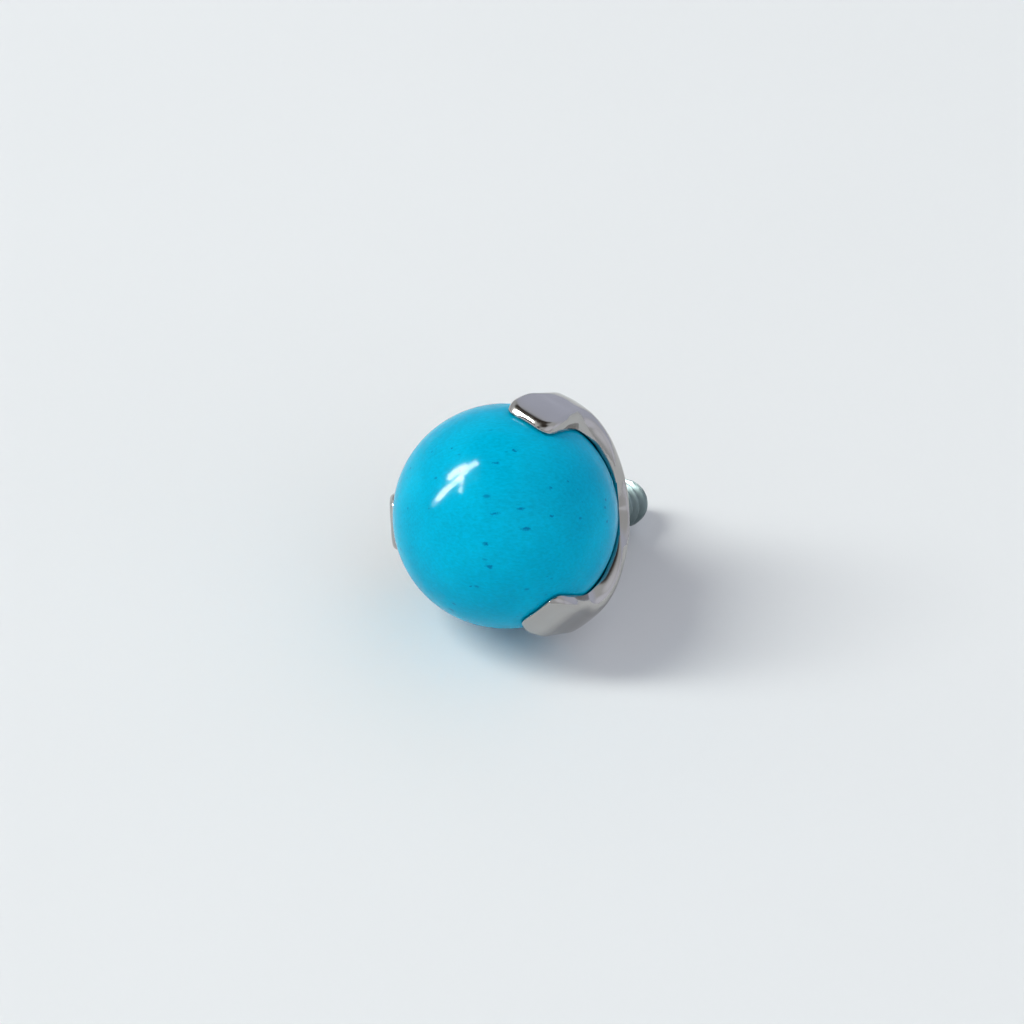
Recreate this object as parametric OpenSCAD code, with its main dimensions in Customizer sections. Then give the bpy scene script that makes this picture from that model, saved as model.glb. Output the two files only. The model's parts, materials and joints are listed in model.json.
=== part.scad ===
// Threaded piercing end: a polished stone ball in a three-claw metal setting
// with a short threaded post behind it, lying on its side as it rests on a
// table. One claw points up, and the part touches the table with the rim of
// its cup, midway between the two lower claws, and with the end of its post.

/* [Stone] */
// Diameter of the ball
ball_d = 4; // [3.8:0.05:4.2]

/* [Claw setting] */
// Thickness of a claw at its tip
tip_t = 0.20; // [0.18:0.01:0.26]
// Thickness of a claw at its elbow, where it bends in to the cup
elbow_t = 0.30; // [0.24:0.01:0.32]
// Width across the flared pad of a claw
pad_w = 1.06; // [1.0:0.02:1.2]
// Width of a claw at its neck, behind the pad
neck_w = 0.94; // [0.8:0.02:0.98]
// Angle that a claw's tip reaches past the ball's middle
tip_reach = 18; // [14:1:20]
// Angle behind the ball's middle at which the claws bend
elbow_angle = 23; // [20:1:26]
// Gap between the ball and the claws where they bend
elbow_gap = 0.08; // [0.05:0.01:0.12]
// Radius of the cup's rim midway between two claws
rim_r = 1.80; // [1.7:0.02:1.86]
// Diameter of the collar behind the cup
collar_d = 1.7; // [1.4:0.1:1.8]
// Distance from the ball's centre to the collar's flat shoulder
shoulder_at = 2.60; // [2.46:0.02:2.7]

/* [Threaded post] */
// Outer diameter of the thread
thread_d = 0.9; // [0.8:0.05:1.2]
// Pitch of the thread
thread_pitch = 0.225; // [0.2:0.025:0.25]
// Number of thread grooves
thread_grooves = 6; // [4:1:8]
// Diameter of the plain shank inside the collar
shank_d = 0.55; // [0.45:0.05:0.55]
// Length of the shank inside the collar
shank_len = 0.3; // [0.25:0.05:0.3]

/* [Hidden] */
$fn = 96;

claw_count = 3;
half_sector = 180 / claw_count;
ball_r = ball_d / 2;

// Clearances that keep the three pieces apart
seat_gap = 0.025;
shank_gap = 0.01;

// Side view of a claw: inner and outer radius from the ball's centre, which
// both grow evenly from the tip to the elbow. The elbow's curve starts
// elbow_soft from its corner, and tip_margin is cut off by the front view.
tip_in = ball_r + seat_gap;
tip_out = tip_in + tip_t;
elbow_in = ball_r + elbow_gap;
elbow_out = elbow_in + elbow_t;
claw_steps = 5;
elbow_steps = 3;
elbow_soft = 0.16;
tip_margin = 0.3;

// The cup: a cone from the elbow in to its foot. Inside, it follows the ball
// from its middle out to the lip. The core is smaller than the seat, which the
// ball's own shape then cuts.
elbow_x = elbow_out * cos(elbow_angle);
elbow_z = -elbow_out * sin(elbow_angle);
foot_x = 0.92;
foot_z = -2.28;
cup_lip_angle = 48;
cup_core = 0.9;

// Height of the rim midway between two claws, on the cup's cone
rim_z = elbow_z - (elbow_x - rim_r) * (elbow_z - foot_z) / (elbow_x - foot_x);

// Front view of a claw: where its pad is widest, its neck narrowest and its
// root starts to spread. The powers shape the spread's and the pad's corners.
tip_z = tip_out * sin(tip_reach);
pad_z = 0.14;
neck_z = -0.36;
spread_z = -0.26;
spread_power = 1.25;
cap_power = 3.2;
cap_steps = 7;
side_steps = 5;
spread_steps = 9;

// Reach of the blocks that cut the claws out, past the whole setting
claw_far = 3;

// Thread: flat crests an eighth of the pitch wide, and V grooves between them
crest_w = thread_pitch / 8;
groove_ratio = 0.6;
groove_deep = thread_pitch * groove_ratio;
thread_r = thread_d / 2;
thread_from = -shoulder_at - thread_pitch / 2;
thread_to = thread_from - thread_grooves * thread_pitch - crest_w;
post_chamfer = 0.08;
post_end_r = thread_r - post_chamfer;
post_end_z = thread_to - post_chamfer;
shank_r = shank_d / 2;
shank_top_z = -shoulder_at + shank_len;

// Hole in the collar, with a countersink for the cone that widens the shank to
// the thread. Its mouth is sink_lip wider all round than the thread.
hole_r = shank_r + shank_gap;
hole_top_z = shank_top_z + shank_gap;
sink_lip = 0.05;
sink_r = thread_r + sink_lip;
sink_deep = 0.2;
sink_top_z = -shoulder_at + sink_deep;

// At rest the table touches the rim of the cup and the post's last crest.
// The line through both gives the tilt and the height of the ball's centre.
rest_tilt = atan((rim_r - thread_r) / (rim_z - thread_to));
rest_h = rim_r * cos(rest_tilt) - rim_z * sin(rest_tilt);
back_y = max(post_end_r * sin(rest_tilt) - post_end_z * cos(rest_tilt),
             thread_r * sin(rest_tilt) - thread_to * cos(rest_tilt));
centre_y = (ball_r - back_y) / 2;

// Point of the half section at radius r and angle a behind the ball's middle
function polar(r, a) = [r * cos(a), -r * sin(a)];

// Value between a and b
function mix(a, b, t) = a + (b - a) * t;

// Smooth step from 0 to 1
function ease(t) = t <= 0 ? 0 : t >= 1 ? 1 : t * t * (3 - 2 * t);

// One face of a claw's half section, from its tip to its elbow
function claw_face(tip, elbow) = [
    for (i = [0 : claw_steps])
        let (t = i / claw_steps)
        polar(mix(tip, elbow, t), mix(-tip_reach, elbow_angle, t))
];

// The elbow's outer corner, rounded from the claw's last point above it down
// to the cup's cone
function elbow_bend() =
    let (corner = [elbow_x, elbow_z],
         up = claw_face(tip_out, elbow_out)[claw_steps - 1] - corner,
         down = [foot_x, foot_z] - corner,
         from = corner + up * elbow_soft / norm(up),
         to = corner + down * elbow_soft / norm(down))
    [for (i = [0 : elbow_steps])
        let (t = i / elbow_steps)
        mix(mix(from, corner, t), mix(corner, to, t), t)];

// Half width of a claw at height z, which spreads below the neck until two
// neighbours meet on the rim
function claw_half(z) =
    mix(neck_w, pad_w, ease((z - neck_z) / (pad_z - neck_z))) / 2
    + (z > spread_z ? 0 :
        let (u = min(1, (spread_z - z) / (spread_z - rim_z)))
        (rim_r * sin(half_sector) - neck_w / 2)
        * (1 - pow(1 - pow(u, spread_power), 1 / spread_power)));

// Right half of a claw's front view, from the rim up to the tip
function claw_outline() = concat(
    [for (i = [0 : spread_steps])
        let (a = 90 * (1 - i / spread_steps), z = mix(spread_z, rim_z, sin(a)))
        [claw_half(z), z]],
    [for (i = [1 : side_steps])
        let (z = mix(spread_z, pad_z, i / side_steps))
        [claw_half(z), z]],
    [for (i = [1 : cap_steps])
        let (a = 90 * i / cap_steps)
        [pad_w / 2 * pow(cos(a), 2 / cap_power),
         pad_z + (tip_z - pad_z) * pow(sin(a), 2 / cap_power)]]);

// Half section of the setting, before the gaps between the claws are cut
module setting_section() {
    outer = claw_face(tip_out, elbow_out);
    inner = claw_face(tip_in, elbow_in);
    polygon(concat(
        [inner[0] + [0, tip_margin], outer[0] + [0, tip_margin]],
        [for (i = [0 : claw_steps - 1]) outer[i]],
        elbow_bend(),
        [[foot_x, foot_z],
         [collar_d / 2, foot_z],
         [collar_d / 2, -shoulder_at],
         [sink_r, -shoulder_at],
         [hole_r, sink_top_z],
         [hole_r, hole_top_z],
         [0, hole_top_z],
         [0, -ball_r * cup_core],
         polar(ball_r * cup_core, cup_lip_angle)],
        [for (i = [claw_steps : -1 : 0]) inner[i]]));
}

// A block that keeps one claw and its share of the cup, and cuts the rest away
module claw_block() {
    right = claw_outline();
    left = [for (i = [len(right) - 1 : -1 : 0]) [-right[i][0], right[i][1]]];
    rotate([90, 0, 180])
        linear_extrude(claw_far)
            polygon(concat(
                [[-claw_far, -claw_far], [claw_far, -claw_far], [claw_far, rim_z]],
                right,
                left,
                [[-claw_far, rim_z]]));
}

module turquoise_ball() {
    color("DeepSkyBlue")
        at_rest()
            sphere(ball_r);
}

module claw_setting() {
    color("Silver")
        at_rest()
            difference() {
                intersection() {
                    rotate_extrude()
                        setting_section();
                    union() {
                        for (i = [0 : claw_count - 1])
                            rotate([0, 0, i * 2 * half_sector])
                                claw_block();
                    }
                }
                sphere(ball_r + seat_gap);
            }
}

module threaded_post() {
    color("Gray")
        at_rest()
            rotate_extrude()
                polygon(concat(
                    [[0, shank_top_z],
                     [shank_r, shank_top_z],
                     [shank_r, sink_top_z - shank_gap],
                     [thread_r, -shoulder_at - shank_gap],
                     [thread_r, thread_from]],
                    [for (i = [0 : thread_grooves - 1])
                        let (z = thread_from - i * thread_pitch)
                        each [[thread_r, z],
                              [thread_r - groove_deep, z - (thread_pitch - crest_w) / 2],
                              [thread_r, z - thread_pitch + crest_w]]],
                    [[thread_r, thread_to],
                     [post_end_r, post_end_z],
                     [0, post_end_z]]));
}

// Places a piece that is modelled along +Z, ball centre at zero, as it rests
module at_rest() {
    translate([0, centre_y, rest_h])
        rotate([90 - rest_tilt, 0, 0])
            children();
}

turquoise_ball();
claw_setting();
threaded_post();
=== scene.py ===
import json
import math

import bmesh
import bpy
import numpy as np
from mathutils import Matrix, Vector, noise
from mathutils.geometry import delaunay_2d_cdt


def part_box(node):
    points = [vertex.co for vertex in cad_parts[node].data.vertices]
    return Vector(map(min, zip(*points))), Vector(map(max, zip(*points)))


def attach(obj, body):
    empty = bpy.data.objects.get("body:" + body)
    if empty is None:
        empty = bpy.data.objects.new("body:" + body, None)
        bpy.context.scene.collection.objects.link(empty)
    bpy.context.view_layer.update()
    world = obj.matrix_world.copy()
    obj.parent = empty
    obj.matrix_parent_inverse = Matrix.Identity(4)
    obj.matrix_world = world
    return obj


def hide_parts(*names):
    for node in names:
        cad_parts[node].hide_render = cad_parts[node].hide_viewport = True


bl_info = {
    "name": "Threaded piercing end",
    "version": (1, 0, 0),
    "blender": (4, 5, 0),
    "location": "View3D > Sidebar > Piercing end",
    "description": "Builds a polished turquoise ball in a three-claw setting with a threaded post",
    "category": "Object",
}

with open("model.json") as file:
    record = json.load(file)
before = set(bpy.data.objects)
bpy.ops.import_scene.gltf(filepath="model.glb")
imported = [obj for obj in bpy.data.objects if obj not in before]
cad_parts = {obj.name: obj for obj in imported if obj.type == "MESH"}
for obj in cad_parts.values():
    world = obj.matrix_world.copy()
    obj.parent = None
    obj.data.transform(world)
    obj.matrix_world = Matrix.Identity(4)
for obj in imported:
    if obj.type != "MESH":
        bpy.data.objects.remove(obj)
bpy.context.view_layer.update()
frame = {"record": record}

MM = 0.001
BODY = "root"
BALL_LOW, BALL_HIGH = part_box("turquoise_ball")
BALL_AT = (BALL_LOW + BALL_HIGH) / 2
THREAD = next(m for m in frame["record"]["mounts"] if m["name"] == "thread")

# The pieces are made with the ball's centre at zero and the post along -Z, and
# AT_REST then lays them down as the part rests.
AT_REST = Matrix.Translation(BALL_AT) @ Vector((0, 0, -1)).rotation_difference(
    Vector(THREAD["axis"])).to_matrix().to_4x4()

# The back of the setting, in millimetres: the cup's foot, the collar behind it,
# and the countersunk hole in the collar that holds the post's shank
FOOT_R = 0.92
FOOT_Z = -2.28
COLLAR_R = 0.85
SHOULDER_Z = -2.60
SINK_R = 0.50
SINK_Z = -2.40
HOLE_R = 0.285
HOLE_TOP_Z = -2.29

# The post's clearance in the collar, the chamfer at its end and the height of
# the mesh rows that the thread is cut into, in millimetres
POST_GAP = 0.01
POST_CHAMFER = 0.08
THREAD_ROW = 0.0125

# The meshes: points nearer than this are one point, rows of faces along each edge of the cube that
# becomes the ball, points around the post, and the angle past which an edge is shown sharp
WELD = 0.0002 * MM
BALL_ROWS = 64
POST_TURNS = 96
SHARP_ANGLE = math.radians(38)

# The photograph's frame: its side, and the ball's width and centre in it, in pixels
FRAME_PIXELS = 1024
BALL_PIXELS = 226
BALL_PIXEL = 505.3, 516

# The stage: half the floor's side and how far off the lamps are, in metres
FLOOR_HALF = 0.5
LAMP_FAR = 0.5


def linear(code):
    """An sRGB hex colour as linear red, green, blue and alpha."""
    parts = [int(code[i:i + 2], 16) / 255 for i in (1, 3, 5)]
    return [c / 12.92 if c <= 0.04045 else ((c + 0.055) / 1.055) ** 2.4 for c in parts] + [1.0]


def add_node(tree, kind, inputs=None, **settings):
    """Adds a node with its settings. An input given as a socket is linked, and any other is a constant."""
    node = tree.nodes.new(kind)
    for name, value in settings.items():
        setattr(node, name, value)
    for name, value in (inputs or {}).items():
        if isinstance(value, bpy.types.NodeSocket):
            tree.links.new(value, node.inputs[name])
        else:
            node.inputs[name].default_value = value
    return node


def smooth(low, high, value):
    """Smooth step from 0 at low to 1 at high."""
    t = np.clip((value - low) / (high - low), 0, 1)
    return t * t * (3 - 2 * t)


def soft_above(value, soft):
    """The value where it is above zero and zero below, with the corner rounded over soft on both sides."""
    return np.where(value > soft, value, np.where(value < -soft, 0, (value + soft) ** 2 / (4 * soft)))


# Materials

def new_material(name):
    """An empty node material with its Principled shader and output joined."""
    material = bpy.data.materials.new(name)
    material.use_nodes = True
    tree = material.node_tree
    tree.nodes.clear()
    shader = add_node(tree, "ShaderNodeBsdfPrincipled")
    add_node(tree, "ShaderNodeOutputMaterial", {"Surface": shader.outputs["BSDF"]})
    return material, tree, shader


def in_millimetres(tree, stretch=(1, 1, 1), turn=0.0):
    """Object coordinates from the ball's centre in millimetres, turned about Z and then stretched."""
    where = add_node(tree, "ShaderNodeTexCoord")
    turned = add_node(tree, "ShaderNodeVectorRotate", {
        "Vector": where.outputs["Object"], "Center": BALL_AT, "Angle": turn}, rotation_type="Z_AXIS")
    centred = add_node(tree, "ShaderNodeVectorMath", {0: turned.outputs["Vector"], 1: BALL_AT},
                       operation="SUBTRACT")
    return add_node(tree, "ShaderNodeVectorMath", {
        0: centred.outputs["Vector"], 1: [s / MM for s in stretch]}, operation="MULTIPLY").outputs["Vector"]


# The stone's grain: how much shorter its pattern is across the grain than along it
GRAIN_STRETCH = 0.42

# Larger specks: their place on the ball as seen from the camera, right and up
# in ball radii, and their length in millimetres
SPECKS = [
    (-0.082, 0.464, 0.15), (0.148, 0.062, 0.14), (-0.091, 0.022, 0.17), (0.183, -0.115, 0.20),
    (-0.171, -0.243, 0.16), (-0.144, -0.442, 0.18), (0.404, 0.004, 0.14), (0.086, 0.575, 0.13),
    (-0.463, 0.593, 0.12), (0.387, 0.248, 0.14), (-0.30, -0.62, 0.11), (0.55, 0.30, 0.12)]


def polished_turquoise(p):
    """Dyed and stabilised turquoise, tumbled to a high polish: an even sky blue that is faintly
    cloudy close up, with small dark specks drawn out along the grain and a sharp white highlight."""
    material, tree, shader = new_material("polished_turquoise")
    right, up, back = camera_axes(bpy.context.scene.piercing_stage)
    grain = math.atan2(right.y, right.x)
    place = in_millimetres(tree, stretch=(GRAIN_STRETCH, 1, 1), turn=-grain)
    even = in_millimetres(tree)

    # Clouds about 0.9 mm across, and a fine grain about 0.04 mm across
    clouds = add_node(tree, "ShaderNodeTexNoise", {
        "Vector": even, "Scale": 1.1, "Detail": 3.0, "Roughness": 0.5})
    grains = add_node(tree, "ShaderNodeTexNoise", {
        "Vector": place, "Scale": 24.0, "Detail": 2.0, "Roughness": 0.6})
    cloudy = add_node(tree, "ShaderNodeMapRange", {
        "Value": clouds.outputs["Fac"], "From Min": 0.3, "From Max": 0.7})
    body = add_node(tree, "ShaderNodeMix", {
        "Factor": cloudy.outputs["Result"], "A": p.deep, "B": p.pale}, data_type="RGBA")
    grainy = add_node(tree, "ShaderNodeMapRange", {
        "Value": grains.outputs["Fac"], "From Min": 0.3, "From Max": 0.7, "To Min": 0.87, "To Max": 1.07})
    stone = add_node(tree, "ShaderNodeVectorMath", {
        0: body.outputs["Result"], "Scale": grainy.outputs["Result"]}, operation="SCALE")

    # Fine specks in about half of the cells, which are 0.18 mm apart
    cells = add_node(tree, "ShaderNodeTexVoronoi", {"Vector": place, "Scale": 5.5, "Randomness": 1.0})
    chosen = add_node(tree, "ShaderNodeSeparateColor", {"Color": cells.outputs["Color"]})
    size = add_node(tree, "ShaderNodeMapRange", {
        "Value": chosen.outputs["Red"], "From Min": 0.4, "From Max": 1.0, "To Min": 0.0, "To Max": 0.22})
    fine = add_node(tree, "ShaderNodeMath", {0: size.outputs["Result"], 1: cells.outputs["Distance"]},
                    operation="SUBTRACT")
    marks = add_node(tree, "ShaderNodeMapRange", {
        "Value": fine.outputs["Value"], "From Min": -0.01, "From Max": 0.09, "To Max": 0.6}).outputs["Result"]

    # The larger specks, each a soft oval with a ragged edge around its own point
    ragged = add_node(tree, "ShaderNodeTexNoise", {"Vector": even, "Scale": 14.0, "Detail": 2.0})
    ragged = add_node(tree, "ShaderNodeVectorMath", {
        0: ragged.outputs["Color"], 1: (0.5, 0.5, 0.5)}, operation="SUBTRACT")
    ragged = add_node(tree, "ShaderNodeVectorMath", {
        0: ragged.outputs["Vector"], "Scale": 0.09}, operation="SCALE")
    near = add_node(tree, "ShaderNodeVectorMath", {0: place, 1: ragged.outputs["Vector"]})
    for across, high, length in SPECKS:
        towards = right * across + up * high + back * math.sqrt(1 - across ** 2 - high ** 2)
        point = Matrix.Rotation(-grain, 3, "Z") @ (towards * p.diameter / 2 / MM)
        point.x *= GRAIN_STRETCH
        apart = add_node(tree, "ShaderNodeVectorMath", {
            0: near.outputs["Vector"], 1: point}, operation="DISTANCE")
        speck = add_node(tree, "ShaderNodeMapRange", {
            "Value": apart.outputs["Value"], "From Min": 0.25 * length, "From Max": 0.05 * length,
            "To Max": 0.8}, interpolation_type="SMOOTHSTEP")
        marks = add_node(tree, "ShaderNodeMath", {
            0: marks, 1: speck.outputs["Result"]}, operation="MAXIMUM").outputs["Value"]

    coloured = add_node(tree, "ShaderNodeMix", {
        "Factor": marks, "A": stone.outputs["Vector"], "B": p.speck}, data_type="RGBA")
    tree.links.new(coloured.outputs["Result"], shader.inputs["Base Color"])

    # A polish that is a little duller on the specks, with a faint orange peel
    dull = add_node(tree, "ShaderNodeMapRange", {"Value": marks, "To Min": 0.10, "To Max": 0.22})
    tree.links.new(dull.outputs["Result"], shader.inputs["Roughness"])
    peel = add_node(tree, "ShaderNodeTexNoise", {"Vector": even, "Scale": 5.0, "Detail": 2.0})
    bump = add_node(tree, "ShaderNodeBump", {
        "Height": peel.outputs["Fac"], "Strength": 0.25, "Distance": 0.004 * MM})
    tree.links.new(bump.outputs["Normal"], shader.inputs["Normal"])
    # Less sheen than turquoise has, whose IOR is 1.61, so that its colour stays as full as in the photograph
    shader.inputs["IOR"].default_value = 1.38
    shader.inputs["Specular IOR Level"].default_value = 0.05
    return material


def finish_metal(tree, shader, p, stains, lines, line_range, rough, bump):
    """Joins a metal's stains to its colour and its fine lines to its roughness and bump. Line range is the
    part of the lines' pattern that counts, rough is its least and most, and bump its strength and height."""
    tone = add_node(tree, "ShaderNodeMix", {"Factor": stains, "A": p.shade, "B": p.light}, data_type="RGBA")
    dull = add_node(tree, "ShaderNodeMapRange", {
        "Value": lines, "From Min": line_range[0], "From Max": line_range[1],
        "To Min": rough[0], "To Max": rough[1]})
    relief = add_node(tree, "ShaderNodeBump", {
        "Height": lines, "Strength": bump[0], "Distance": bump[1] * MM})
    tree.links.new(tone.outputs["Result"], shader.inputs["Base Color"])
    tree.links.new(dull.outputs["Result"], shader.inputs["Roughness"])
    tree.links.new(relief.outputs["Normal"], shader.inputs["Normal"])
    shader.inputs["Metallic"].default_value = 1.0


def polished_steel(p):
    """Stainless steel, cast or turned and then mass polished: a warm light grey mirror that blurs
    a little, with hairline scratches from the polishing drum."""
    material, tree, shader = new_material("polished_steel")
    even = in_millimetres(tree)
    hairs = in_millimetres(tree, stretch=(1, 0.12, 1), turn=0.5)
    patchy = add_node(tree, "ShaderNodeTexNoise", {"Vector": even, "Scale": 1.6, "Detail": 3.0})
    # Scratches about 0.02 mm wide, coarser than real ones so that they show
    scratches = add_node(tree, "ShaderNodeTexNoise", {
        "Vector": hairs, "Scale": 34.0, "Detail": 3.0, "Roughness": 0.7})
    finish_metal(tree, shader, p, patchy.outputs["Fac"], scratches.outputs["Fac"],
                 line_range=(0.3, 0.75), rough=(0.07, 0.15), bump=(0.2, 0.002))
    return material


def satin_steel(p):
    """The same steel as it comes off the thread cutter, duller, with fine turning lines around the post.
    Its colour is painted darker and greener than cut steel, as painted shade for the dark reflection that the
    post shows."""
    material, tree, shader = new_material("satin_steel")
    where = in_millimetres(tree)
    # Turning lines about 0.02 mm apart, drawn around the post's axis
    along = add_node(tree, "ShaderNodeVectorMath", {
        0: where, 1: THREAD["axis"]}, operation="DOT_PRODUCT")
    lines = add_node(tree, "ShaderNodeTexNoise", {
        "W": along.outputs["Value"], "Scale": 45.0, "Detail": 2.0}, noise_dimensions="1D")
    stains = add_node(tree, "ShaderNodeTexNoise", {"Vector": where, "Scale": 3.0, "Detail": 3.0})
    finish_metal(tree, shader, p, stains.outputs["Fac"], lines.outputs["Fac"],
                 line_range=(0.3, 0.7), rough=(0.38, 0.52), bump=(0.3, 0.003))
    return material


# Meshes

def link(name, mesh, material):
    """Puts a finished mesh in the scene in place of the CAD node of the same name."""
    mesh.materials.clear()
    mesh.materials.append(material)
    mesh.transform(AT_REST)
    mesh.shade_smooth()
    mesh.set_sharp_from_angle(angle=SHARP_ANGLE)
    piece = bpy.data.objects.new("looks_" + name, mesh)
    bpy.context.scene.collection.objects.link(piece)
    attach(piece, BODY)
    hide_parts(name)
    return piece


def mesh_from(name, points, faces):
    """A mesh from points in millimetres and the faces between them."""
    mesh = bpy.data.meshes.new(name)
    mesh.from_pydata([Vector(p) * MM for p in points], [], faces)
    return mesh


def close_up(mesh):
    """Merges doubled points and turns every face outwards."""
    bm = bmesh.new()
    bm.from_mesh(mesh)
    bmesh.ops.remove_doubles(bm, verts=bm.verts, dist=WELD)
    bmesh.ops.dissolve_degenerate(bm, edges=bm.edges, dist=WELD / 20)
    bmesh.ops.recalc_face_normals(bm, faces=bm.faces)
    bm.to_mesh(mesh)
    bm.free()


def rounded(corners, steps=4):
    """A profile with its corners rounded. Each corner is radius, height and how far the curve reaches."""
    out = [Vector(corners[0][:2])]
    for before, corner, after in zip(corners, corners[1:], corners[2:]):
        at = Vector(corner[:2])
        start = at + (Vector(before[:2]) - at).normalized() * corner[2]
        end = at + (Vector(after[:2]) - at).normalized() * corner[2]
        for i in range(steps + 1):
            t = i / steps
            out.append(start.lerp(at, t).lerp(at.lerp(end, t), t))
    out.append(Vector(corners[-1][:2]))
    return [(p.x, p.y) for p in out]


def lathe(profile, turns):
    """Points and faces of a profile of radius and height turned around Z, with poles at radius zero."""
    points, faces, rows = [], [], []
    for radius, height in profile:
        first = len(points)
        if radius < 1e-6:
            points.append((0, 0, height))
            rows.append([first] * turns)
        else:
            points += [(radius * math.cos(a), radius * math.sin(a), height)
                       for a in (2 * math.pi * i / turns for i in range(turns))]
            rows.append(list(range(first, first + turns)))
    for low, high in zip(rows, rows[1:]):
        for i in range(turns):
            face = [low[i], low[(i + 1) % turns], high[(i + 1) % turns], high[i]]
            faces.append(list(dict.fromkeys(face)))
    return points, faces


def run_nodes(mesh, tree, values):
    """Runs a Geometry Nodes tree once on a mesh and returns the plain mesh that it makes."""
    holder = bpy.data.objects.new("work", mesh)
    bpy.context.scene.collection.objects.link(holder)
    modifier = holder.modifiers.new("work", "NODES")
    modifier.node_group = tree
    sockets = {item.name: item.identifier for item in tree.interface.items_tree
               if item.item_type == "SOCKET" and item.in_out == "INPUT"}
    for name, value in values.items():
        modifier[sockets[name]] = value
    bpy.context.view_layer.update()
    made = bpy.data.meshes.new_from_object(holder.evaluated_get(bpy.context.evaluated_depsgraph_get()))
    holder.modifiers.clear()
    bpy.data.objects.remove(holder)
    return made


def new_tree(name, inputs):
    """An empty Geometry Nodes tree with a geometry input and output and these inputs."""
    tree = bpy.data.node_groups.new(name, "GeometryNodeTree")
    tree.interface.new_socket("Geometry", in_out="INPUT", socket_type="NodeSocketGeometry")
    for label, kind in inputs:
        tree.interface.new_socket(label, in_out="INPUT", socket_type=kind)
    tree.interface.new_socket("Geometry", in_out="OUTPUT", socket_type="NodeSocketGeometry")
    return tree, add_node(tree, "NodeGroupInput").outputs


def claw_ring_nodes():
    """Repeats one claw and its share of the cup around the axis and welds them to one piece."""
    tree, given = new_tree("claw_ring", [
        ("Claws", "NodeSocketInt"), ("Weld distance", "NodeSocketFloat"), ("Material", "NodeSocketMaterial")])
    points = add_node(tree, "GeometryNodePoints", {"Count": given["Claws"]})
    index = add_node(tree, "GeometryNodeInputIndex")
    share = add_node(tree, "ShaderNodeMath", {0: 2 * math.pi, 1: given["Claws"]}, operation="DIVIDE")
    angle = add_node(tree, "ShaderNodeMath", {0: index.outputs[0], 1: share.outputs[0]}, operation="MULTIPLY")
    turn = add_node(tree, "ShaderNodeCombineXYZ", {"Z": angle.outputs[0]})
    ring = add_node(tree, "GeometryNodeInstanceOnPoints", {
        "Points": points.outputs[0], "Instance": given["Geometry"], "Rotation": turn.outputs[0]})
    real = add_node(tree, "GeometryNodeRealizeInstances", {"Geometry": ring.outputs[0]})
    weld = add_node(tree, "GeometryNodeMergeByDistance", {
        "Geometry": real.outputs[0], "Distance": given["Weld distance"]})
    painted = add_node(tree, "GeometryNodeSetMaterial", {
        "Geometry": weld.outputs[0], "Material": given["Material"]})
    add_node(tree, "NodeGroupOutput", {"Geometry": painted.outputs[0]})
    return tree


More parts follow.
